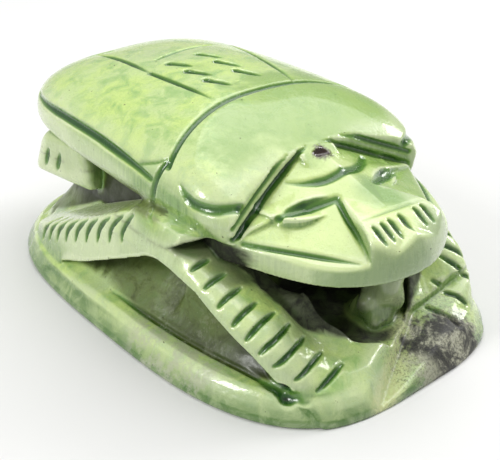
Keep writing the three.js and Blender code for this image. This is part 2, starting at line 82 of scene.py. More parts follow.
BELLY_FOOT = [-24, -15, -10, -4, 5, 30], [4.8, 5.2, 4.4, 3.0, 1.9, 1.9]
BELLY_RISE = [3.0, 4.5, 6.5, 9, 12, 16, 20], [-0.4, 1.6, 3.6, 5.6, 7.2, 8.2, 8.2]
BELLY_LOW, BELLY_REAR, BELLY_OVERLAP, BELLY_EVEN = 2, 27.5, 0.5, 0.75

DOME = dict(half_width=19.05, y=9.0, front=30.8, rear=25.85, height=8.8, blend=9.0,
            front_power=5.5, rear_power=3.1, front_crown=2.0, rear_crown=1.4, shoulder=2.7,
            top=32.3, front_from=1.5, front_fall=0.029, rear_from=10.0, rear_fall=0.006, top_blend=3.8,
            undercut=0.42, least_slope=0.03, least=-8, most=14, lip_blend=0.5)
DOME_LIP = [-20, -9, -3, 2, 20], [17.8, 18.6, 18.8, 19.0, 20.3]
COLLAR = dict(y=-13, sweep=3.6, half_width=16, power=1.6)

# Angles of the front legs are taken round this point, 0 sideways and 90 straight ahead.
LEG_CENTRE_Y = -10.0
LEG_CREST = ([-20, 0, 9.5, 25, 40, 45, 51.7, 59, 64.7, 90],
             [17.2, 16.9, 16.4, 14.0, 11.3, 9.8, 7.6, 5.8, 5.0, 5.0])
LEG_REACH = [0, 20, 40, 60, 90], [9, 10, 9.5, 8.5, 5.6]
LEG_UNDERSIDE = [-6, 3, 14, 25, 35, 40, 45, 52, 60], [16, 15.2, 14.0, 11.2, 8.4, 6.5, 4.2, 2.4, -2]
LEG_TOP = dict(crest_inset=6, roll=4.2, most_roll=1.3, slope=0.12, fall=2.4, power=2.4)
LEG = dict(back=-7, ledge_from=2.2, ledge=2.5, side_even=0.8, top_even=0.75, top_blend=0.8)

# Stone behind the front legs, by height and faded out by angle, and the wall of the toes by height.
MASS_BEHIND = [3.5, 5, 7, 10, 14], [5.0, 6.2, 7.4, 8.0, 8.2]
MASS_FADE = [0, 45, 50, 56], [1, 1, 0.5, 0]
TOE_WALL = [0, 1, 2, 3, 4, 5, 6], [0, 0.25, 0.8, 1.6, 2.6, 3.9, 6.0]
MASS_BACK, MASS_SLOPE = -8, 0.1

# Middle legs: a line along each face, and the direction in which the face runs inwards.
MIDDLE_LOWER = (21.3, -8.1, 15.4), (24, 15.4, 2.7), (-1, 0.1, 0.35)
MIDDLE_UPPER = (20.2, -0.2, 17.8), (20.9, 20.4, 7.0), (-1, 0, 0.15)
MIDDLE_LEG = dict(top=19.0, top_even=0.8, top_blend=1.0, blend=0.7, thick=8.5, front=-8.1, low=1, rear=24,
                  inner=12)

# Hind legs: matching corners of the lower and the upper face.
HIND_BOTTOM = (17.2, 13, 13.4), (19, 26.3, 12.8), (11.5, 29.6, 12.8), (11, 13.5, 12.8)
HIND_TOP = (18.4, 14.6, 20.8), (18.2, 20.1, 20.4), (11.5, 28.8, 20.5), (11, 14.5, 20.5)
HIND_BLEND = 1.5

# Where the front and middle legs spring, and the bulge that joins them to the pronotum.
ROOT = dict(rear=-2.0, rear_slope=0.9, rear_level=18, rear_even=0.75, inset=0.3, front=-11, low=15,
            top=19.4, top_slope=0.5, top_inset=3, top_even=0.85, inner=6)
SHOULDER = dict(front=-10.5, rear=-3.5, middle=-7, x=18.6, z=17.0, slope=0.1, radius=2.3)
ROOT_GAP_TOP = [-18, -14, -11.5, -9.4], [17.8, 18.3, 17.8, 16.4]
ROOT_GAP_ANGLE, ROOT_GAP_INNER = 40, 9.5

HEAD = dict(start=-15, length=17, furthest=1.3, half_width=16.6, taper=7.2, front_power=6, level=17.2,
            lean=0.06, lean_above=1.2, back=-11, even=1e-3, least=-6, most=8, crown_even=0.8, snout_even=0.9,
            blend=0.5)
HEAD_PROFILE = ([-32.3, -31.6, -30.2, -28.3, -27, -20, -17.6, -13.1, -10],
                [16.8, 19.0, 20.7, 21.9, 22.3, 22.7, 22.9, 26.0, 27.0])
SNOUT = [-32, -29, -21, -18], [7.5, 6.3, 3.4, 3.1]
CHEEK_POINT, CHEEK_NORMAL = (16, -17.6, 18.7), (0.341, -0.259, 0.903)
BROW_POINT, BROW_NORMAL = (16, 19.6), (0.30, 0.945)
BROW_START, BROW_SLOPE = (3.1, -20.3), 0.28

# Hollow under the head, the post left in it, and the cut line across the toes.
HOLLOW = dict(centre=-16, reach=13.4, furthest=3, half_width=9.5, flare=0.15, flare_from=6, even=8.5,
              back=-13, floor=4.2, roof=17)
PROP = dict(x=2.8, y=-24.5, lean=0.15, lean_level=10, radius=1.6, flare=0.16, flare_level=15, top=16, low=3)
FOOT_LINE = (4.6, -28.0, 3.9), (-7.2, -34.3, 0.7)
FOOT_STEEP, FOOT_EASY = (-0.9, 0.5, 1.2), (3.3, -1.9, 0.6)
FOOT_CUT_BACK, FOOT_CUT_TOP = -27, 7.5

# The right side of the block is narrowest here: how much, where, and over what length.
NARROW, NARROW_Y, NARROW_LENGTH = 1.5, -20, 7

# Widths over which the forms run into each other.
BLEND = dict(belly=0.8, root=1.2, leg=0.8, mass=0.5, dome=1.0, shoulder=1.8, gap=0.5, hollow=0.6, middle=0.8,
             foot=0.3, cut=0.25)

# Unevenness of the stone, in millimetres: the whole of it, the hollow and the post.
WAVE, HOLLOW_ROUGH, PROP_ROUGH = 0.1, 0.35, 0.8


# ---------------------------------------------------------------- small tools

def soft_max(a, b, width):
    near = np.maximum(width - np.abs(a - b), 0) / width
    return np.maximum(a, b) + near * near * width * 0.25


def soft_min(a, b, width):
    return -soft_max(-a, -b, width)


def most(*parts):
    return np.maximum.reduce(np.broadcast_arrays(*parts))


def read(t, places, values):
    return np.interp(t, places, values)


def smooth_step(t):
    t = np.clip(t, 0, 1)
    return t * t * (3 - 2 * t)


CORNERS = [(i, j, k) for i in (0, 1) for j in (0, 1) for k in (0, 1)]


def between(values, cells, parts):
    """Values part of the way across the cells of a grid, from the eight corners of each."""
    total = 0
    for corner in CORNERS:
        weight = 1
        for part, high in zip(parts, corner):
            weight = weight * (part if high else 1 - part)
        total = total + weight * values[tuple(cell + high for cell, high in zip(cells, corner))]
    return total


class Noise:
    """Smooth random field over the block, between -1 and 1, with features of one size in millimetres."""

    def __init__(self, size, seed):
        rng = np.random.default_rng(seed)
        self.size = size
        self.lattice = rng.uniform(-1, 1, (int(70 / size) + 6, int(90 / size) + 6, int(50 / size) + 6))

    def __call__(self, x, y, z):
        spots = [(x + 32) / self.size, (y + 42) / self.size, (z + 6) / self.size]
        spots = np.broadcast_arrays(*[np.maximum(s, 0) for s in spots])
        cells = [np.minimum(s.astype(int), n - 2) for s, n in zip(spots, self.lattice.shape)]
        return between(self.lattice, cells, [smooth_step(s - c) for s, c in zip(spots, cells)])


# ---------------------------------------------------------------- solid forms

def oval(ax, y):
    """Distance from the outline of the block in plan, negative inside."""
    ahead = y < OVAL_Y
    reach = np.where(ahead, FRONT_END + OVAL_Y, REAR_END - OVAL_Y)
    power = np.where(ahead, FRONT_POWER, REAR_POWER)
    u = ax / HALF_WIDTH + TINY
    v = np.abs(y - OVAL_Y) / reach + TINY
    total = u ** power + v ** power
    radius = total ** (1 / power)
    slope = radius / total * np.hypot(u ** (power - 1) / HALF_WIDTH, v ** (power - 1) / reach)
    return (radius - 1) / (slope + TINY)


def base(edge, z):
    return most((edge + read(z, *BASE_WALL)) * BASE_EVEN, -z, z - RIM)


def blank(edge, z):
    """Outer wall of the uncarved block, to which the legs are cut."""
    return (edge + read(z, *BLANK_WALL)) * BLANK_EVEN


def belly(edge, y, z):
    side = (read(y, *BELLY_FOOT) + read(z, *BELLY_RISE) + edge) * BELLY_EVEN
    return most(side, BELLY_LOW - z, z - WING_FOOT - BELLY_OVERLAP, y - BELLY_REAR)


def dome(ax, y, z):
    """Wing cases and pronotum: a superellipse plan, crowned, flattened on top and undercut at the foot."""
    d = DOME
    reach = np.where(y < d["y"], d["front"], d["rear"])
    back = smooth_step((y - d["y"] + d["blend"]) / (2 * d["blend"]))
    m = d["front_power"] + (d["rear_power"] - d["front_power"]) * back
    k = d["front_crown"] + (d["rear_crown"] - d["front_crown"]) * back
    u = ax / d["half_width"] + TINY
    v = np.abs(y - d["y"]) / reach + TINY
    w = np.maximum(z - WING_FOOT, 0) / d["height"]
    plan = u ** m + v ** m
    slope = k / m * plan ** (k / m - 1)
    steepness = np.sqrt((slope * m * u ** (m - 1) / d["half_width"]) ** 2
                        + (slope * m * v ** (m - 1) / reach) ** 2
                        + (d["shoulder"] * w ** (d["shoulder"] - 1) / d["height"]) ** 2)
    crown = (plan ** (k / m) + w ** d["shoulder"] - 1) / np.maximum(steepness, d["least_slope"])
    ahead = np.maximum(d["front_from"] - y, 0)
    behind = np.maximum(y - d["rear_from"], 0)
    level = d["top"] - d["front_fall"] * ahead ** 2 - d["rear_fall"] * behind ** 2
    flat = (z - level) / np.sqrt(1 + (2 * d["front_fall"] * ahead) ** 2)
    body = soft_max(np.clip(crown, d["least"], d["most"]), flat, d["top_blend"])
    undercut = np.maximum(WING_FOOT - z, 0) * d["undercut"]
    return soft_max(body + undercut, read(y, *DOME_LIP) - z, d["lip_blend"])


def collar_y(ax):
    """Front edge of the pronotum in plan."""
    return COLLAR["y"] - COLLAR["sweep"] * (ax / COLLAR["half_width"]) ** COLLAR["power"]


def leg_angle(ax, y):
    return np.degrees(np.arctan2(LEG_CENTRE_Y - y, ax))


def leg_crest(angle):
    return read(angle, *LEG_CREST)


def leg_top(angle, inset):
    d = LEG_TOP
    roll = np.clip((d["crest_inset"] - inset) / d["roll"], 0, d["most_roll"])
    return leg_crest(angle) + (inset - d["crest_inset"]) * d["slope"] - d["fall"] * roll ** d["power"]


def leg_reach(angle):
    """How far the front leg reaches in from the outline of the block."""
    return read(angle, *LEG_REACH)


def front_leg(ax, y, z, edge):
    angle = leg_angle(ax, y)
    inset = -edge
    below = read(angle, *LEG_UNDERSIDE) - z - np.clip(inset - LEG["ledge_from"], 0, LEG["ledge"])
    inner = (inset - leg_reach(angle)) * LEG["side_even"]
    top = (z - leg_top(angle, inset)) * LEG["top_even"]
    return soft_max(most(blank(edge, z), inner, below, y - LEG["back"]), top, LEG["top_blend"])


def leg_mass(ax, y, z, edge):
    """Stone left behind the front legs, and the broad feet ahead of them."""
    angle = leg_angle(ax, y)
    behind = read(z, *MASS_BEHIND) * read(angle, *MASS_FADE)
    side = (np.maximum(behind, read(z, *TOE_WALL)) + edge) * LEG["side_even"]
    top = (z - leg_crest(angle) - (-edge - LEG_TOP["crest_inset"]) * MASS_SLOPE) * LEG["top_even"]
    return most(top, side, y - MASS_BACK)


def slanted(ax, y, z, start, end, inward, up):
    """Distance above (up = 1) or below (up = -1) a plane through a line and an inward direction."""
    normal = np.cross(np.subtract(end, start), inward)
    normal = normal / np.linalg.norm(normal)
    if normal[2] * up < 0:
        normal = -normal
    return normal[0] * (ax - start[0]) + normal[1] * (y - start[1]) + normal[2] * (z - start[2])


def middle_leg(ax, y, z, edge):
    d = MIDDLE_LEG
    lower = slanted(ax, y, z, *MIDDLE_LOWER, -1)
    upper = slanted(ax, y, z, *MIDDLE_UPPER, 1)
    bar = soft_max(blank(edge, z), upper, d["blend"])
    bar = soft_max(bar, (z - d["top"]) * d["top_even"], d["top_blend"])
    ends = most(-(y - d["front"]), y - d["rear"], d["low"] - z, d["inner"] - ax)
    return most(bar, lower, -edge - d["thick"], ends)


def block(ax, y, z, bottom, top):
    """Rounded block between two matching four-cornered faces."""
    bottom, top = np.array(bottom, float), np.array(top, float)
    centre = (bottom.mean(0) + top.mean(0)) / 2
    faces = [(bottom[0], bottom[1], bottom[2]), (top[0], top[1], top[2]), (top[0], top[2], top[3])]
    faces += [(bottom[i], bottom[(i + 1) % 4], (top[i] + top[(i + 1) % 4]) / 2) for i in range(4)]
    total = FAR_INSIDE
    for a, b, c in faces:
        normal = np.cross(b - a, c - a)
        normal = normal / np.linalg.norm(normal)
        if normal @ (centre - a) > 0:
            normal = -normal
        away = normal[0] * (ax - a[0]) + normal[1] * (y - a[1]) + normal[2] * (z - a[2])
        total = soft_max(total, away, HIND_BLEND)
    return total


def hind_leg(ax, y, z):
    return block(ax, y, z, HIND_BOTTOM, HIND_TOP)


def leg_root(ax, y, z, edge):
    """Stone from which the front and middle legs spring."""
    d = ROOT
    rear = (y - d["rear"] + d["rear_slope"] * (z - d["rear_level"])) * d["rear_even"]
    top = (z - d["top"] - d["top_slope"] * (edge + d["top_inset"])) * d["top_even"]
    return most(blank(edge, z) + d["inset"], rear, -(y - d["front"]), d["low"] - z, top, d["inner"] - ax)


def head(ax, y, z):
    """Shovel head: cheek plates on both sides, a level snout between them and a brow behind."""
    d = HEAD
    ahead = np.clip((d["start"] - y) / d["length"], 0, d["furthest"])
    half = d["half_width"] - d["taper"] * ahead
    power = d["front_power"]
    size = (ax / half) ** 2 + ahead ** power
    along = power * ahead ** (power - 1) + 2 * d["taper"] * ax ** 2 / half ** 3
    slope = np.hypot(2 * ax / half ** 2, along / d["length"])
    above = z - d["level"]
    side = np.clip((size - 1) / np.sqrt(slope ** 2 + d["even"]), d["least"], d["most"])
    side = side + d["lean"] * above ** 2 * np.where(above > 0, d["lean_above"], 1)
    rest = most(side, y - d["back"], HEAD_UNDERSIDE - z)
    cheek = (CHEEK_NORMAL[0] * (ax - CHEEK_POINT[0]) + CHEEK_NORMAL[1] * (y - CHEEK_POINT[1])
             + CHEEK_NORMAL[2] * (z - CHEEK_POINT[2]))
    crown = (z - read(y, *HEAD_PROFILE)) * d["crown_even"]
    snout = (ax - read(y, *SNOUT)) * d["snout_even"]
    brow = BROW_NORMAL[0] * (ax - BROW_POINT[0]) + BROW_NORMAL[1] * (z - BROW_POINT[1])
    brow_edge = -(y - BROW_START[1] - BROW_SLOPE * (ax - BROW_START[0]))
    plate = soft_max(rest, cheek, d["blend"])
    nose = soft_max(most(rest, snout), crown, d["blend"])
    back = soft_max(most(rest, crown, brow_edge), brow, d["blend"])
    return np.minimum(np.minimum(plate, nose), back)


def hollow(ax, y, z):
    """Space carved out under the head."""
    d = HOLLOW
    ahead = np.clip((d["centre"] - y) / d["reach"], 0, d["furthest"])
    half = d["half_width"] + d["flare"] * (z - d["flare_from"])
    side = (np.sqrt((ax / half) ** 2 + ahead ** 2 + TINY) - 1) * d["even"]
    return most(side, y - d["back"], d["floor"] - z, z - d["roof"])


def shoulder(ax, y, z):
    """Rounded bulge that joins the foot of the pronotum to the roots of the legs."""
    d = SHOULDER
    along = np.clip(y, d["front"], d["rear"])
    shift = d["slope"] * (along - d["middle"])
    return np.sqrt((ax - d["x"] - shift) ** 2 + (y - along) ** 2 + (z - d["z"] - shift) ** 2) - d["radius"]


def root_gap(ax, y, z):
    """Narrow gap between the top of the front leg and the pronotum."""
    low = leg_crest(np.clip(leg_angle(ax, y), 0, ROOT_GAP_ANGLE))
    return most(low - z, z - read(y, *ROOT_GAP_TOP), ROOT_GAP_INNER - ax)


def foot_cut(x, y, z):
    """Open V cut across the toes, steep on one side and long on the other."""
    steep = slanted(x, y, z, *FOOT_LINE, FOOT_STEEP, 1)
    easy = slanted(x, y, z, *FOOT_LINE, FOOT_EASY, 1)
    return most(-steep, -easy, y - FOOT_CUT_BACK, z - FOOT_CUT_TOP)


def prop(x, y, z):
    """Rough post left standing under the snout, wider at the foot."""
    d = PROP
    thick = d["radius"] + d["flare"] * (d["flare_level"] - z)
    away = np.hypot(x - d["x"], y - d["y"] + (z - d["lean_level"]) * d["lean"])
    return most(away - thick, z - d["top"], d["low"] - z)


WOBBLE = Noise(9.0, 3)
LUMPS = Noise(2.6, 5)


def stone(x, y, z):
    """The whole carved block before its lines are cut."""
    ax = np.abs(x)
    edge = oval(ax + NARROW * np.exp(-((y - NARROW_Y) / NARROW_LENGTH) ** 2) * (x > 0), y)
    body = soft_min(base(edge, z), belly(edge, y, z), BLEND["belly"])
    body = soft_min(body, leg_root(ax, y, z, edge), BLEND["root"])
    body = soft_min(body, front_leg(ax, y, z, edge), BLEND["leg"])
    body = soft_min(body, leg_mass(ax, y, z, edge), BLEND["mass"])
    body = soft_min(body, most(dome(ax, y, z), collar_y(ax) - y), BLEND["dome"])
    body = soft_min(body, shoulder(ax, y, z), BLEND["shoulder"])
    body = soft_max(body, -root_gap(ax, y, z), BLEND["gap"])
    rough = LUMPS(x, y, z)
    body = soft_max(body, -(hollow(ax, y, z) + HOLLOW_ROUGH * rough), BLEND["hollow"])
    body = soft_min(body, middle_leg(ax, y, z, edge), BLEND["middle"])
    body = np.minimum(body, hind_leg(ax, y, z))
    body = np.minimum(body, head(ax, y, z))
    body = np.minimum(body, prop(x, y, z) + PROP_ROUGH * rough)
    body = soft_max(body, -foot_cut(x, y, z), BLEND["foot"])
    return body + WAVE * WOBBLE(x, y, z)


# ---------------------------------------------------------------- carved lines

def lean(points):
    """Slope of the stone's distance at an array of points."""
    step = 0.12
    sides = []
    for offset in np.eye(3) * step:
        ahead, behind = points + offset, points - offset
        sides.append((stone(*ahead.T) - stone(*behind.T)) / (2 * step))
    return np.stack(sides, -1)


def snap(points):
    """Moves points onto the stone's surface."""
    for _ in range(8):
        slope = lean(points)
        size = np.maximum((slope ** 2).sum(-1), 0.2)
        points = points - (np.clip(stone(*points.T), -0.5, 0.5) / size)[:, None] * slope
    return points


def curve(stations, spacing=0.5):
    """Even points on a smooth curve through stations."""
    stations = np.array(stations, float)
    ends = np.vstack([2 * stations[0] - stations[1], stations, 2 * stations[-1] - stations[-2]])
    points = []
    for i in range(1, len(ends) - 2):
        a, b, c, d = ends[i - 1:i + 3]
        count = max(int(np.linalg.norm(c - b) / spacing), 1)
        for t in np.arange(count) / count:
            points.append(0.5 * (2 * b + (c - a) * t + (2 * a - 5 * b + 4 * c - d) * t ** 2
                                 + (3 * b - a - 3 * c + d) * t ** 3))
    points.append(ends[-2])
    return np.array(points)


class Carving:
    """Round-bottomed cuts, kept as the distance from the nearest cut on the grid."""

    def __init__(self, axes):
        self.axes = axes
        self.gap = np.full([len(a) for a in axes], 9.0, np.float32)

    def bar(self, start, end, r0, r1):
        """A round bar from start to end, with radius r0 at the start and r1 at the end."""
        low = np.minimum(start, end) - max(r0, r1) - MARGIN
        high = np.maximum(start, end) + max(r0, r1) + MARGIN
        spans = [slice(*np.searchsorted(a, (l, h))) for a, l, h in zip(self.axes, low, high)]
        x, y, z = np.meshgrid(*[a[s] for a, s in zip(self.axes, spans)], indexing="ij", sparse=True)
        way = np.subtract(end, start)
        along = (x - start[0]) * way[0] + (y - start[1]) * way[1] + (z - start[2]) * way[2]
        t = np.clip(along / (way @ way + 1e-9), 0, 1)
        gap = np.sqrt((x - start[0] - t * way[0]) ** 2 + (y - start[1] - t * way[1]) ** 2
                      + (z - start[2] - t * way[2]) ** 2) - (r0 + (r1 - r0) * t)
        part = self.gap[tuple(spans)]
        np.minimum(part, gap, out=part)

    def line(self, stations, tool, start=0.4, end=0.4):
        """A cut through stations; start and end are its size there, against its size in the middle."""
        points = snap(curve(stations))
        slope = lean(points)
        normal = slope / np.maximum(np.linalg.norm(slope, axis=1), 1e-3)[:, None]
        half, depth = tool
        radius = (half * half + depth * depth) / (2 * depth) if half > depth else half
        t = np.linspace(0, 1, len(points))
        size = read(t, [0, 0.25, 0.7, 1], [start, 1, 1, end])
        lift = radius - depth
        for share in ((1,) if lift > 0 else (1, 0.5, 0)):
            spots = points + normal * (lift * share * size)[:, None]
            for i in range(len(spots) - 1):
                self.bar(spots[i], spots[i + 1], radius * size[i], radius * size[i + 1])


def run(a, b, count):
    return np.linspace(a, b, count)


def drop(xs, ys, low=15.0, high=34.0):
    """Points of the first surface met from above."""
    xs, ys = np.broadcast_arrays(np.asarray(xs, float), np.asarray(ys, float))
    zs = np.linspace(high, low, 200)[:, None]
    inside = stone(xs[None], ys[None], zs) < 0
    return np.stack([xs, ys, zs[np.argmax(inside, axis=0), 0]], -1)


def press(ys, zs, side, reach=26.0):
    """Points of the first surface met from one side."""
    ys, zs = np.broadcast_arrays(np.asarray(ys, float), np.asarray(zs, float))
    xs = side * np.linspace(reach, 8, 240)[:, None]
    inside = stone(xs, ys[None], zs[None]) < 0
    return np.stack([xs[np.argmax(inside, axis=0), 0], ys, zs], -1)


def bow(count):
    """Rises from 0 to 1 and falls back again, in count values."""
    return np.sin(run(0, math.pi, count))


# Half width and depth of each cutting tool.
WING_TOOL, STRIP_TOOL, RIM_TOOL, PIT_TOOL = (0.43, 0.46), (0.4, 0.46), (0.62, 0.55), (0.6, 0.7)
COLLAR_TOOL, NECK_TOOL = (0.4, 0.45), (0.5, 0.75)
HEAD_TOOL, FACE_TOOL, HAIR_TOOL, SOFT_TOOL = (0.8, 0.42), (0.4, 0.42), (0.24, 0.22), (0.85, 0.45)
TICK_TOOL, NOTCH_TOOL = (0.55, 0.5), (0.36, 0.5)

# Straight cuts: both ends, number of points, tool, size at the start and at the end.
# On the back the ends are X and Y, on the flanks, which mirror each other, Y and Z.
BACK_LINES = (
    ((-5.1, 28.0), (-6.6, 13.0), 4, STRIP_TOOL, 0.4, 0.4),
    ((-6.6, 13.0), (-6.0, 0.2), 5, STRIP_TOOL, 1, 0.3),
    ((15.0, 24.0), (7.3, -1.2), 8, STRIP_TOOL, 0.4, 0.4),
    ((-6.0, 30.6), (-2.6, 28.2), 4, FACE_TOOL, 0.4, 0.4),
    ((-4.7, -26.3), (5.2, -27.4), 6, HAIR_TOOL, 0.4, 0.4))
FLANK_LINES = (
    ((-4.9, 25.4), (-3.9, 20.2), 6, WING_TOOL, 1, 0.8),
    ((-3.9, 20.2), (-6.3, 18.6), 4, HAIR_TOOL, 1, 0.5),
    ((20.5, 14.6), (19.0, 18), 4, FACE_TOOL, 0.4, 0.4),
    ((23, 14.6), (21.5, 18), 4, FACE_TOOL, 0.4, 0.4))

# Bent cuts: stations, tool, size at the start and at the end. Those in PAIRED_LINES are mirrored.
PAIRED_LINES = (
    ([(18.2, -8.8, 24.2), (18.6, -11.0, 23.0), (17.5, -14.1, 22.8), (14.6, -15.9, 22.7)],
     SOFT_TOOL, 0.3, 0.8),
    ([(18.4, -0.8, 24.0), (17.7, -3.6, 25.1), (16.4, -5.2, 26.3)], HAIR_TOOL, 1, 0.5),
    ([(3.4, -20.9, 22.4), (4.3, -23.2, 21.5), (6.2, -29.0, 19.3)], FACE_TOOL, 0.9, 0.4),
    ([(15.4, -17.2, 18.7), (13.0, -21.2, 18.8), (7.5, -29.1, 18.6)], FACE_TOOL, 0.8, 0.4),
    ([(11.3, -18.2, 20.7), (7.3, -19.5, 21.8), (3.5, -20.9, 22.4)], HEAD_TOOL, 0.3, 0.8),
    ([(21.0, 3, 3.6), (20.6, -6, 3.6), (19.6, -15, 3.6), (18.0, -23.5, 4.0)], FACE_TOOL, 0.3, 1),
    ([(18.0, -24.0, 4.2), (17.4, -27.2, 3.4), (15.6, -30.2, 2.8)], SOFT_TOOL, 0.6, 0.2))
BROW_ARC = [(-6.4, -14.9, 23.1), (-4.8, -16.6, 23.2), (-2.2, -18.2, 23.6), (1.5, -18.4, 23.8),
            (4.6, -17.4, 23.4), (7.2, -15.4, 22.7)]
PIT = [(-0.5, -14.4, 25.1), (0.8, -14.7, 25.1)]

# The line between the wing cases and the pronotum, and the line round the foot of the wing cases.
WING_LINE = dict(half_width=17.6, y=-1.1, sweep=4.6, full=17.7, power=1.9)
RIM_LINE = dict(front=-3.4, rear=29, low=23.1, rise=1.1, power=0.8)

# Marks on the back: where each row starts, strokes in a row, their spacing, and how far each one runs.
MARK_ROWS = (-2.9, 13.4), (2.7, 13.8)
MARK_COUNT, MARK_SPACING, MARK_RUN = 3, 4.2, (1.7, -3.1)

# The two collar lines: height at the middle, fall, and where they start and end beside the middle.
COLLAR_LINES = (26.5, 0.45, 1.2), (28.4, 0.46, 4.7)
COLLAR_END = {-1: 16.4, 1: 15.4}

SNOUT_NOTCHES = -4.3, -2.9, -1.6, 0.2, 2.9, 4.2
SNOUT_NOTCH = (-28.0, 22.0), (-29.1, 21.4), (-30.2, 20.6)

# Outer and inner ends of the front-leg notches on each side, from the shoulder to the foot.
LEG_NOTCHES = 9
NOTCH_PLACES = [0, 0.38, 0.75, 1]
NOTCHES = {
    -1: ([(20.3, -13.8, 15.5), (20.0, -21.3, 11.3), (18.1, -26.7, 7.5), (14.2, -30.4, 4.3)],
         [(18.0, -13.9, 16.0), (16.2, -20.9, 12.5), (12.6, -25.5, 8.1), (9.7, -29.5, 5.1)]),
    1: ([(20.3, -14.5, 15.0), (20.2, -22.4, 10.5), (17.0, -28.6, 6.0), (9.6, -32.0, 3.9)],
        [(18.0, -13.9, 16.0), (16.5, -20.5, 12.5), (14.0, -25.0, 9.2), (8.3, -28.1, 5.2)])}
NOTCH_OVERRUN = 0.1

# Middle-leg notches: lower and upper end of the first, as Y and Z, and how far each end is moved by the last.
MIDDLE_NOTCH_LOW, MIDDLE_NOTCH_LOW_MOVE = (-0.9, 13.9), (21.6, -9.6)
MIDDLE_NOTCH_HIGH, MIDDLE_NOTCH_HIGH_MOVE = (-2.6, 18.3), (20.2, -9.7)
MIDDLE_NOTCH_BOW = 0.6


def mirrored(stations, side):
    return np.array(stations, float) * (side, 1, 1)


def carve_back(cut):
    """Lines on the wing cases, the pronotum and across the head."""
    d = WING_LINE
    xs = run(-d["half_width"], d["half_width"], 25)
    cut.line(drop(xs, d["y"] - d["sweep"] * (np.abs(xs) / d["full"]) ** d["power"]), WING_TOOL, 1, 1)
    for (x0, y0), (x1, y1), count, tool, first, last in BACK_LINES:
        cut.line(drop(run(x0, x1, count), run(y0, y1, count)), tool, first, last)
    cut.line(drop(run(-3.2, 8.6, 7), 16.4 + run(0, 1.6, 7) + bow(7) * 0.4), FACE_TOOL, 0.5, 0.2)


def carve_sides(cut):
    """The lines that both sides share."""
    d = RIM_LINE
    for side in (-1, 1):
        for stations, tool, first, last in PAIRED_LINES:
            cut.line(mirrored(stations, side), tool, first, last)
        for (y0, z0), (y1, z1), count, tool, first, last in FLANK_LINES:
            cut.line(press(run(y0, y1, count), run(z0, z1, count), side), tool, first, last)
        rim = press(run(d["front"], d["rear"], 12), d["low"] + d["rise"] * bow(12) ** d["power"], side)
        cut.line(rim, RIM_TOOL, 0.7, 0.5)


def carve_marks(cut):
    """Rows of plain slanted strokes between the wing lines."""
    for x, y in MARK_ROWS:
        for i in range(MARK_COUNT):
            top = y - MARK_SPACING * i
            stroke = drop(run(x, x + MARK_RUN[0], 4), run(top, top + MARK_RUN[1], 4))
            cut.line(stroke, TICK_TOOL, 1.3, 0.4)


def carve_head(cut):
    """Collar lines, brow, pit and snout notches."""
    for side, end in COLLAR_END.items():
        tools = (NECK_TOOL if side < 0 else COLLAR_TOOL), COLLAR_TOOL
        for (low, fall, start), tool in zip(COLLAR_LINES, tools):
            ax = run(start, end, 8)
            cut.line(np.stack([side * ax, collar_y(ax), low - fall * ax], -1), tool, 0.3, 0.9)
    cut.line(BROW_ARC, HEAD_TOOL, 0.3, 0.8)
    cut.line(PIT, PIT_TOOL, 0.8, 0.6)
    for x in SNOUT_NOTCHES:
        cut.line([(x, y, z) for y, z in SNOUT_NOTCH], NOTCH_TOOL, 0.8, 0.6)


def carve_legs(cut):
    """Notches on the front and middle legs."""
    for side, rows in NOTCHES.items():
        for t in run(0, 1, LEG_NOTCHES):
            outer, inner = [np.array([read(t, NOTCH_PLACES, column) for column in zip(*row)]) for row in rows]
            along = np.subtract(inner, outer)
            middle = outer + along / 2
            stations = [outer - NOTCH_OVERRUN * along, middle, inner + NOTCH_OVERRUN * along]
            cut.line(mirrored(stations, side), NOTCH_TOOL, 0.7, 0.6)
        for t in run(0, 1, LEG_NOTCHES):
            low = [a + b * t for a, b in zip(MIDDLE_NOTCH_LOW, MIDDLE_NOTCH_LOW_MOVE)]
            high = [a + b * t for a, b in zip(MIDDLE_NOTCH_HIGH, MIDDLE_NOTCH_HIGH_MOVE)]
            ys, zs = run(low[0], high[0], 5), run(low[1], high[1], 5)
            cut.line(press(ys + MIDDLE_NOTCH_BOW * bow(5), zs, side), NOTCH_TOOL, 0.5, 0.6)


# ---------------------------------------------------------------- meshing

def grid_axes():
    spans = (HALF_WIDTH, HALF_WIDTH), (FRONT_END, REAR_END), (0, TOP)
    return [np.arange(-(reach + MARGIN), top + MARGIN, GRID_STEP) for reach, top in spans]


SLAB = 6


def fill(axes):
    """The stone's distance on the whole grid, worked out in level slabs."""
    x, y, z = axes
    values = np.empty((len(x), len(y), len(z)), np.float32)
    for i in range(0, len(z), SLAB):
        values[:, :, i:i + SLAB] = stone(x[:, None, None], y[None, :, None], z[None, None, i:i + SLAB])
    return values


def sample(values, axes, points):
    """Reads a grid between its points."""
    spots = [(points[:, i] - axes[i][0]) / GRID_STEP for i in range(3)]
    cells = [np.clip(s.astype(int), 0, n - 2) for s, n in zip(spots, values.shape)]
    return between(values, cells, [s - c for s, c in zip(spots, cells)])


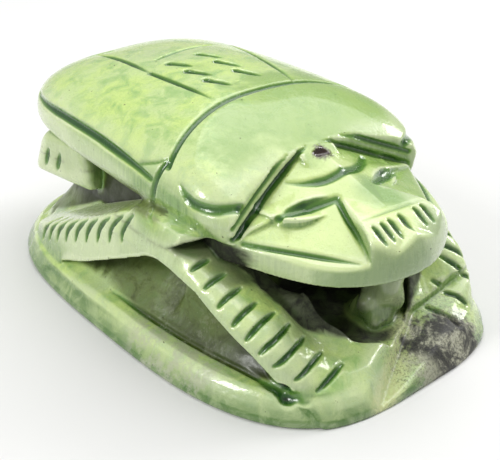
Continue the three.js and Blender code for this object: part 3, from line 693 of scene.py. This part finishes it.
def surface(values, axes):
    """Surface net: one point in each cell that the surface crosses, one face for each crossed grid edge."""
    inside = values < 0
    size = [n - 1 for n in values.shape]
    count = np.zeros(size, np.int8)
    for i, j, k in CORNERS:
        count += inside[i:i + size[0], j:j + size[1], k:k + size[2]]
    cells = np.argwhere((count > 0) & (count < 8))
    number = np.full(size, -1, np.int32)
    number[tuple(cells.T)] = np.arange(len(cells))
    total, hits = np.zeros((len(cells), 3)), np.zeros(len(cells))
    for a in CORNERS:
        for axis in range(3):
            if a[axis]:
                continue
            b = list(a)
            b[axis] = 1
            va = values[tuple((cells + a).T)]
            vb = values[tuple((cells + b).T)]
            crossed = (va < 0) != (vb < 0)
            t = np.where(crossed, va / np.where(crossed, va - vb, 1), 0)
            spot = np.tile(np.array(a, float), (len(cells), 1))
            spot[:, axis] = t
            total += spot * crossed[:, None]
            hits += crossed
    points = np.array([a[0] for a in axes]) + (cells + total / hits[:, None]) * GRID_STEP
    faces = []
    for axis in range(3):
        u, v = (axis + 1) % 3, (axis + 2) % 3
        first = [slice(None)] * 3
        second = [slice(None)] * 3
        first[axis], second[axis] = slice(0, -1), slice(1, None)
        edges = np.argwhere(inside[tuple(first)] != inside[tuple(second)])
        around = []
        for du, dv in ((0, 0), (-1, 0), (-1, -1), (0, -1)):
            cell = edges.copy()
            cell[:, u] += du
            cell[:, v] += dv
            around.append(number[tuple(cell.T)])
        quads = np.stack(around, -1)
        outward = inside[tuple(edges.T)]
        faces.append(np.where(outward[:, None], quads, quads[:, ::-1]))
    return points, np.concatenate(faces)


def settle(points, values, axes):
    """Draws points onto the surface along the grid's slope."""
    for _ in range(2):
        slope = np.stack([sample(values, axes, points + step) - sample(values, axes, points - step)
                          for step in np.eye(3) * GRID_STEP], -1) / (2 * GRID_STEP)
        move = sample(values, axes, points) / np.maximum((slope ** 2).sum(-1), 0.25)
        points = points - np.clip(move, -0.2, 0.2)[:, None] * slope
    return points


def crowding(values, axes, radius):
    """Share of stone within a box round each grid point: over a half in hollows, under a half on edges."""
    share = (values < 0).astype(np.float32)
    reach = max(int(round(radius / GRID_STEP)), 1)
    for axis in range(3):
        pad = [(0, 0)] * 3
        pad[axis] = (reach + 1, reach)
        total = np.cumsum(np.pad(share, pad, mode="edge"), axis=axis, dtype=np.float64)
        ahead = np.take(total, range(2 * reach + 1, total.shape[axis]), axis=axis)
        behind = np.take(total, range(0, total.shape[axis] - 2 * reach - 1), axis=axis)
        share = ((ahead - behind) / (2 * reach + 1)).astype(np.float32)
    return share


def make_mesh(name, points, faces):
    mesh = bpy.data.meshes.new(name)
    mesh.vertices.add(len(points))
    mesh.vertices.foreach_set("co", (points * MM).astype(np.float32).ravel())
    mesh.loops.add(faces.size)
    mesh.loops.foreach_set("vertex_index", faces.astype(np.int32).ravel())
    mesh.polygons.add(len(faces))
    mesh.polygons.foreach_set("loop_start", np.arange(0, faces.size, faces.shape[1], dtype=np.int32))
    mesh.polygons.foreach_set("loop_total", np.full(len(faces), faces.shape[1], np.int32))
    mesh.update(calc_edges=True)
    mesh.validate()
    return mesh


def thin_out(mesh, name):
    """The same surface with at most TRIANGLES triangles, keeping the most where it bends."""
    piece = bpy.data.objects.new(name, mesh)
    bpy.context.scene.collection.objects.link(piece)
    modifier = piece.modifiers.new("thin", "DECIMATE")
    modifier.ratio = min(1.0, TRIANGLES / (2 * len(mesh.polygons)))
    evaluated = piece.evaluated_get(bpy.context.evaluated_depsgraph_get())
    final = bpy.data.meshes.new_from_object(evaluated)
    piece.modifiers.clear()
    piece.data = final
    bpy.data.meshes.remove(mesh)
    final.name = name
    final.shade_smooth()
    return piece


def pockets(x, y, z):
    """How far points lie inside the dark spaces under the head, behind the front legs and in the slit, 0 to
    1, where shade is painted.
    """
    ax = np.abs(x)
    edge = oval(ax, y)
    within = smooth_step((0.3 - hollow(ax, y, z)) / 0.6)
    behind_leg = smooth_step((-edge - leg_reach(leg_angle(ax, y)) - 0.2) / 0.5) * (y < -13) * (z > 3)
    dark = np.maximum(within, behind_leg) * smooth_step((HEAD_UNDERSIDE + 0.2 - z) / 0.4)
    dark = dark * (1 - 0.7 * smooth_step((1.2 - prop(x, y, z)) / 1.0))
    slit = smooth_step((0.6 - root_gap(ax, y, z)) / 0.8)
    slit = slit * smooth_step((y + 19) / 1.5) * smooth_step((ax - 13) / 2)
    return np.maximum(dark, slit)


def flanks(x, y, z):
    """How far points lie on the shaded belly and floor behind the legs, 0 to 1."""
    ax = np.abs(x)
    edge = oval(ax, y)
    below_leg = np.where(y < -7, leg_top(leg_angle(ax, y), -edge) - 2.2 - z, 3)
    clear = np.minimum(np.minimum(middle_leg(ax, y, z, edge), hind_leg(ax, y, z)) * 2 - 0.3, below_leg)
    start = np.where(y < -7, 4.6, 3.4) - 0.8 * smooth_step((6 - z) / 2) * (y < -7)
    inside = smooth_step((-edge - start) / 1.0) * smooth_step(clear) * smooth_step((21 - z) / 2)
    return inside * (0.8 + 0.2 * smooth_step((z - 8) / 5)) * smooth_step((y + 29) / 3)


def scars(x, y, z):
    """How close points lie to the scratched edge of the toe cut, 0 to 1."""
    start, end = np.array(FOOT_LINE)
    points = np.stack([x, y, z], -1)
    way = end - start
    along = np.clip((points - start) @ way / (way @ way), 0, 1)
    away = np.linalg.norm(points - start - along[:, None] * way, axis=1)
    return smooth_step((2.4 - away) / 1.2)


# Reach in millimetres of the two measures of how crowded with stone a place is.
NEAR, WIDE = 0.8, 3.5


def carved_scarab():
    """The carved piece, with the facts that its glaze reads stored at each point."""
    axes = grid_axes()
    plain = fill(axes)
    cut = Carving(axes)
    for carve in (carve_back, carve_sides, carve_marks, carve_head, carve_legs):
        carve(cut)
    values = soft_max(plain, -cut.gap, BLEND["cut"]).astype(np.float32)
    values = np.maximum(values, -axes[2].astype(np.float32)[None, None, :])
    points, faces = surface(values, axes)
    points = settle(points, values, axes)
    points = np.clip(points, np.array(cad_low) / MM, np.array(cad_high) / MM)
    piece = thin_out(make_mesh("scarab_body", points, faces), "scarab_body")
    mesh = piece.data
    final = np.empty(len(mesh.vertices) * 3, np.float32)
    mesh.vertices.foreach_get("co", final)
    final = final.reshape(-1, 3) / MM
    facts = {
        "cut": np.clip(-sample(plain, axes, final), 0, 1),
        "near": sample(crowding(values, axes, NEAR), axes, final),
        "wide": sample(crowding(values, axes, WIDE), axes, final),
        "pocket": pockets(*final.T),
        "flank": flanks(*final.T),
        "scar": scars(*final.T),
    }
    for name, fact in facts.items():
        layer = mesh.attributes.new(name, "FLOAT", "POINT")
        layer.data.foreach_set("value", fact.astype(np.float32))
    return piece


# ---------------------------------------------------------------- glaze

def colour(red, green, blue):
    """Screen colour, 0 to 255, as the linear colour that shaders take."""
    linear = []
    for value in (red, green, blue):
        share = value / 255
        linear.append(share / 12.92 if share <= 0.04045 else ((share + 0.055) / 1.055) ** 2.4)
    return (*linear, 1.0)


class Paint:
    """Short names for the node work of one material."""

    def __init__(self, name):
        self.material = bpy.data.materials.new(name)
        self.material.use_nodes = True
        self.tree = self.material.node_tree
        self.shader = self.tree.nodes["Principled BSDF"]
        coordinates = self.tree.nodes.new("ShaderNodeTexCoord")
        scale = self.node("ShaderNodeVectorMath", {0: coordinates.outputs["Object"]}, operation="SCALE")
        scale.inputs["Scale"].default_value = 1 / MM
        self.place = scale.outputs["Vector"]

    def node(self, kind, inputs=None, **settings):
        node = self.tree.nodes.new(kind)
        for key, value in settings.items():
            setattr(node, key, value)
        for key, value in (inputs or {}).items():
            if isinstance(value, bpy.types.NodeSocket):
                self.tree.links.new(value, node.inputs[key])
            else:
                node.inputs[key].default_value = value
        return node

    def noise(self, scale, detail=3.0, rough=0.55, place=None, warp=0.0):
        inputs = {"Vector": place or self.place, "Scale": scale, "Detail": detail, "Roughness": rough,
                  "Distortion": warp}
        return self.node("ShaderNodeTexNoise", inputs).outputs["Fac"]

    def vector(self, operation, x, y, z):
        return self.node("ShaderNodeVectorMath", {0: self.place, 1: (x, y, z)}, operation=operation).outputs

    def stretch(self, x, y, z):
        return self.vector("MULTIPLY", x, y, z)["Vector"]

    def span(self, value, low, high, to_low=0.0, to_high=1.0):
        node = self.node("ShaderNodeMapRange", {"Value": value, "From Min": low, "From Max": high,
                                                "To Min": to_low, "To Max": to_high})
        node.interpolation_type = "SMOOTHSTEP"
        return node.outputs["Result"]

    def math(self, operation, a, b=0.0):
        return self.node("ShaderNodeMath", {0: a, 1: b}, operation=operation).outputs["Value"]

    def times(self, a, b):
        return self.math("MULTIPLY", a, b)

    def mix(self, factor, a, b):
        node = self.node("ShaderNodeMix", data_type="RGBA")
        for key, value in ((0, factor), (6, a), (7, b)):
            if isinstance(value, bpy.types.NodeSocket):
                self.tree.links.new(value, node.inputs[key])
            else:
                node.inputs[key].default_value = value
        return node.outputs[2]

    def fact(self, name):
        return self.node("ShaderNodeAttribute", attribute_name=name).outputs["Fac"]

    def axis(self, name):
        return self.node("ShaderNodeSeparateXYZ", {0: self.place}).outputs[name]

    def upward(self):
        """Upward part of the surface's direction, fixed to the piece."""
        direction = self.node("ShaderNodeTexCoord").outputs["Normal"]
        return self.node("ShaderNodeSeparateXYZ", {0: direction}).outputs["Z"]

    def near_spot(self, x, y, z, radius, soft, rough):
        """1 within a radius of a spot, fading out over a soft edge that noise makes ragged."""
        sway = self.times(self.math("SUBTRACT", rough, 0.5), radius * 1.6)
        away = self.math("ADD", self.vector("DISTANCE", x, y, z)["Value"], sway)
        return self.span(away, radius, radius + soft, 1.0, 0.0)

    def tint(self, shade, spots, rough):
        """The shade with the colours of spots laid over it."""
        for place, radius, soft, share, tone in spots:
            mask = self.near_spot(*place, radius, soft, rough)
            shade = self.mix(self.times(mask, share), shade, colour(*tone))
        return shade


# Areas of a colour of their own, and one spot of painted shade: place, radius, soft edge, share and colour.
UPPER_SPOTS = (
    ((4, -13, 26), 13, 5, 0.8, (140, 174, 86)),
    ((-4, -23, 21), 9, 5, 0.8, (214, 232, 156)),
    # Darker spot on the nose: painted shade in its shallow hollow.
    ((2.6, -23.6, 22.4), 2.2, 3.2, 0.8, (128, 168, 100)),
    ((5.0, -30.5, 18.5), 2.2, 3.2, 0.8, (104, 144, 92)))
LEG_SPOTS = (
    ((-19, 21, 17), 5.5, 4, 0.7, (204, 216, 170)),
    ((-22, 8, 11), 6.5, 4, 0.7, (184, 204, 146)))
CREAM_SPOT = (((-0.5, -35, 1.5), 2.6, 2, 0.75, (184, 186, 160)),)


# Tones of the glaze and the stone, and of painted shade and sheen, as screen colours.
TONES = dict(pale=(198, 220, 150), yellow=(202, 226, 134), leaf=(146, 186, 108), mottle=(164, 194, 116),
             side=(112, 146, 78), low=(78, 118, 48), chin=(92, 130, 62), wear_and_rim_sheen=(226, 236, 194),
             pooled=(88, 134, 52), shallow_cut=(96, 140, 56), cut=(40, 86, 30), deepest_cut_shade=(14, 30, 12),
             dark_flank_shade=(58, 74, 16), flank_shade=(92, 108, 34), deep_flank_shade=(36, 42, 16), painted_hollow_shade=(22, 24, 12),
             pinhole=(60, 52, 30), freckle=(104, 128, 60), pit=(48, 26, 12), scratch=(196, 204, 148),
             dark_rock=(40, 40, 37), rock=(178, 178, 156), speckle=(88, 86, 76), fringe=(70, 72, 58),
             chalk=(188, 190, 168))


def glaze():
    """Green glaze over soapstone: tones, wear with painted sheen on rims, painted shade on steep and low
    walls, glaze pooled in the cuts with painted shade in the deepest, painted shade in the recesses, bare
    stone and bump.
    """
    paint = Paint("glazed_soapstone")
    tones = {name: colour(*rgb) for name, rgb in TONES.items()}
    cut, near, wide = paint.fact("cut"), paint.fact("near"), paint.fact("wide")
    pocket, flank, scar = paint.fact("pocket"), paint.fact("flank"), paint.fact("scar")
    height = paint.axis("Z")
    steep = paint.span(paint.upward(), 0.75, 0.1)

    cloud = paint.noise(0.16, 4.0, 0.6)
    blotch = paint.noise(0.4, 5.0, 0.65, warp=0.6)
    grain = paint.noise(2.2, 4.0, 0.6)
    shade = paint.mix(paint.span(cloud, 0.4, 0.6), tones["pale"], tones["yellow"])
    shade = paint.mix(paint.times(paint.span(blotch, 0.42, 0.68), 0.85), shade, tones["leaf"])
    mottle = paint.span(paint.noise(3.4, 4.0, 0.7), 0.42, 0.68, 0.0, 0.4)
    shade = paint.mix(mottle, shade, tones["mottle"])
    shade = paint.tint(shade, UPPER_SPOTS, cloud)
    # Painted shade: steep faces darker, streaked up and down like brushed glaze.
    streak = paint.noise(0.9, 5.0, 0.65, place=paint.stretch(2.4, 2.4, 0.2))
    side = paint.times(steep, paint.span(streak, 0.3, 0.7, 0.6, 1.0))
    shade = paint.mix(side, shade, tones["side"])
    shade = paint.tint(shade, LEG_SPOTS, cloud)
    # Paler edges: glaze worn thin on sharp edges, and painted sheen on broad rounded rims.
    wear_and_rim_sheen = paint.math("MAXIMUM", paint.span(near, 0.44, 0.34), paint.span(wide, 0.45, 0.36, 0.0, 0.7))
    shade = paint.mix(paint.times(wear_and_rim_sheen, 0.65), shade, tones["wear_and_rim_sheen"])
    # Painted shade: steep walls darker towards the foot of the block.
    low = paint.times(paint.span(height, 4.2, 2.2), paint.span(blotch, 0.3, 0.6, 0.55, 0.95))
    low = paint.times(low, paint.span(steep, 0.0, 0.5))
    shade = paint.mix(low, shade, tones["low"])
    chin = paint.times(paint.near_spot(-5, -30.5, 16, 6.5, 3, cloud), steep)
    shade = paint.mix(paint.times(chin, 0.6), shade, tones["chin"])

    pooled = paint.times(paint.span(near, 0.54, 0.7), paint.span(blotch, 0.25, 0.6, 0.95, 0.5))
    shade = paint.mix(pooled, shade, tones["pooled"])
    shade = paint.mix(paint.span(cut, 0.04, 0.25), shade, tones["shallow_cut"])
    shade = paint.mix(paint.span(cut, 0.2, 0.5), shade, tones["cut"])
    # Painted shade: the deepest cuts go near-black.
    shade = paint.mix(paint.span(cut, 0.6, 0.85), shade, tones["deepest_cut_shade"])

    # Painted shade, mottled olive, on the belly and floor behind the legs; darkest where the recess is most
    # enclosed.
    flank_shade = paint.times(paint.span(flank, 0, 0.8), paint.span(blotch, 0.3, 0.65, 1.0, 0.75))
    shade = paint.mix(flank_shade, shade, paint.mix(grain, tones["dark_flank_shade"], tones["flank_shade"]))
    deepest = paint.math("MAXIMUM", paint.times(flank, paint.span(wide, 0.5, 0.72)),
                         paint.span(flank, 0.8, 1.0, 0.0, 0.9))
    shade = paint.mix(deepest, shade, tones["deep_flank_shade"])
    # Painted shade, near-black, in the hollow under the head, behind the front legs and in the slit.
    painted_hollow_shade = paint.times(pocket, paint.span(blotch, 0.35, 0.7, 1.0, 0.85))
    shade = paint.mix(painted_hollow_shade, shade, tones["painted_hollow_shade"])

    pits = paint.span(paint.noise(1.5, 2.0, 0.5), 0.735, 0.77)
    shade = paint.mix(paint.times(pits, 0.75), shade, tones["pinhole"])
    freckle = paint.span(paint.noise(5.5, 2.0, 0.6), 0.62, 0.74)
    shade = paint.mix(paint.times(freckle, 0.3), shade, tones["freckle"])

    pit = paint.near_spot(0.1, -14.5, 24.8, 1.0, 0.8, grain)
    shade = paint.mix(pit, shade, tones["pit"])

    ragged = paint.noise(0.5, 5.0, 0.7)
    scratch = paint.times(scar, paint.span(grain, 0.4, 0.6, 0.5, 1.0))
    shade = paint.mix(scratch, shade, tones["scratch"])
    bare = paint.near_spot(6.2, -34, 1.0, 5.4, 2.2, ragged)
    veins = paint.noise(0.24, 6.0, 0.72, warp=0.8)
    speckle = paint.span(paint.noise(2.6, 5.0, 0.8), 0.46, 0.62)
    rock = paint.mix(paint.span(veins, 0.46, 0.6), tones["dark_rock"], tones["rock"])
    rock = paint.mix(paint.times(speckle, 0.6), rock, tones["speckle"])
    rock = paint.tint(rock, CREAM_SPOT, ragged)
    shade = paint.mix(bare, shade, rock)
    fringe = paint.times(paint.near_spot(5.5, -33.5, 2, 7.5, 3, ragged), speckle)
    shade = paint.mix(paint.times(fringe, 0.6), shade, tones["fringe"])
    rub = paint.near_spot(-21.5, -12, 3.2, 7, 3, ragged)
    chalky = paint.times(rub, paint.math("SUBTRACT", paint.span(ragged, 0.42, 0.6), flank))
    chalky = paint.math("MAXIMUM", paint.times(chalky, 0.6), 0.0)
    shade = paint.mix(chalky, shade, tones["chalk"])
    paint.tree.links.new(shade, paint.shader.inputs["Base Color"])

    brushed = paint.noise(1.0, 3.0, 0.6, place=paint.stretch(2.6, 2.6, 0.28))
    dull = paint.math("MAXIMUM", paint.times(painted_hollow_shade, 0.75), paint.times(flank_shade, 0.5))
    dull = paint.math("MAXIMUM", dull, paint.times(bare, 0.5))
    gloss = paint.math("MAXIMUM", paint.span(blotch, 0.3, 0.75, 0.18, 0.34), dull)
    paint.tree.links.new(gloss, paint.shader.inputs["Roughness"])
    paint.tree.links.new(paint.span(dull, 0.2, 0.5, 0.6, 0.0), paint.shader.inputs["Coat Weight"])

    skin = paint.noise(0.9, 3.0, 0.5)
    relief = paint.math("ADD", paint.times(brushed, 0.25), paint.times(skin, 0.6))
    relief = paint.math("ADD", relief, paint.times(grain, 0.12))
    relief = paint.math("SUBTRACT", relief, paint.times(pits, 0.35))
    bump = paint.node("ShaderNodeBump", {"Height": relief, "Strength": 0.35, "Distance": 0.35 * MM})
    paint.tree.links.new(bump.outputs["Normal"], paint.shader.inputs["Normal"])
    paint.shader.inputs["IOR"].default_value = 1.5
    paint.shader.inputs["Coat Roughness"].default_value = 0.06
    paint.shader.inputs["Subsurface Weight"].default_value = 0.1
    paint.shader.inputs["Subsurface Radius"].default_value = (1.0, 1.2, 0.5)
    paint.shader.inputs["Subsurface Scale"].default_value = 1.0 * MM
    return paint.material


# ---------------------------------------------------------------- stage

# In metres: half the floor's side, and how far it lies below the piece.
FLOOR_REACH, FLOOR_DROP = 1.5, 0.05 * MM
FLOOR_COLOUR, FLOOR_ROUGHNESS = (0.8, 0.8, 0.79, 1), 0.9

# Name, place in metres, size and power in watts.
LIGHTS = (
    ("key", (0.17, 0.06, 0.43), (0.48, 0.48), 1.6),
    ("window", (-0.32, 0.04, 0.25), (0.08, 0.16), 0.7),
    ("lamp", (0.34, -0.08, 0.20), (0.12, 0.12), 0.5))
LIGHT_TARGET = (0, 0, 0.01)
WORLD_STRENGTH = 0.42

# Where the camera stands, in degrees and millimetres round its target.
CAMERA = dict(azimuth=41.818, elevation=30.277, roll=1.393, distance=144.653, target=(0.122, -1.148, 7.704),
              sensor=36.0, lens=72.0, clip_start=0.01)


def floor():
    corners = (-1, -1), (1, -1), (1, 1), (-1, 1)
    points = [(x * FLOOR_REACH, y * FLOOR_REACH, -FLOOR_DROP) for x, y in corners]
    mesh = bpy.data.meshes.new("floor")
    mesh.from_pydata(points, [], [(0, 1, 2, 3)])
    plane = bpy.data.objects.new("floor", mesh)
    bpy.context.scene.collection.objects.link(plane)
    material = bpy.data.materials.new("floor")
    material.use_nodes = True
    shader = material.node_tree.nodes["Principled BSDF"]
    shader.inputs["Base Color"].default_value = FLOOR_COLOUR
    shader.inputs["Roughness"].default_value = FLOOR_ROUGHNESS
    mesh.materials.append(material)


def area_light(name, place, size, power):
    data = bpy.data.lights.new(name, "AREA")
    data.shape = "RECTANGLE"
    data.size, data.size_y = size
    data.energy = power
    light = bpy.data.objects.new(name, data)
    light.location = place
    light.rotation_euler = (Vector(LIGHT_TARGET) - Vector(place)).to_track_quat("-Z", "Y").to_euler()
    bpy.context.scene.collection.objects.link(light)


def studio():
    world = bpy.data.worlds.new("studio")
    world.use_nodes = True
    background = world.node_tree.nodes["Background"]
    background.inputs["Color"].default_value = (1, 1, 1, 1)
    background.inputs["Strength"].default_value = WORLD_STRENGTH
    bpy.context.scene.world = world
    for light in LIGHTS:
        area_light(*light)
    bpy.context.scene.view_settings.view_transform = "Standard"


def camera():
    """Looks down on the left front of the beetle, a little rolled."""
    azimuth, elevation, roll = [math.radians(CAMERA[key]) for key in ("azimuth", "elevation", "roll")]
    distance = CAMERA["distance"] * MM
    target = Vector(CAMERA["target"]) * MM
    away = Vector((-math.sin(azimuth) * math.cos(elevation), -math.cos(azimuth) * math.cos(elevation),
                   math.sin(elevation)))
    data = bpy.data.cameras.new("camera")
    data.sensor_width = CAMERA["sensor"]
    data.lens = CAMERA["lens"]
    data.clip_start = CAMERA["clip_start"]
    eye = bpy.data.objects.new("camera", data)
    turn = away.to_track_quat("Z", "Y").to_matrix().to_4x4() @ Matrix.Rotation(roll, 4, "Z")
    eye.matrix_world = Matrix.Translation(target + away * distance) @ turn
    bpy.context.scene.collection.objects.link(eye)
    bpy.context.scene.camera = eye


camera()
floor()
studio()
body = carved_scarab()
body.data.materials.clear()
body.data.materials.append(glaze())
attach(body, "root")
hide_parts(NODE)
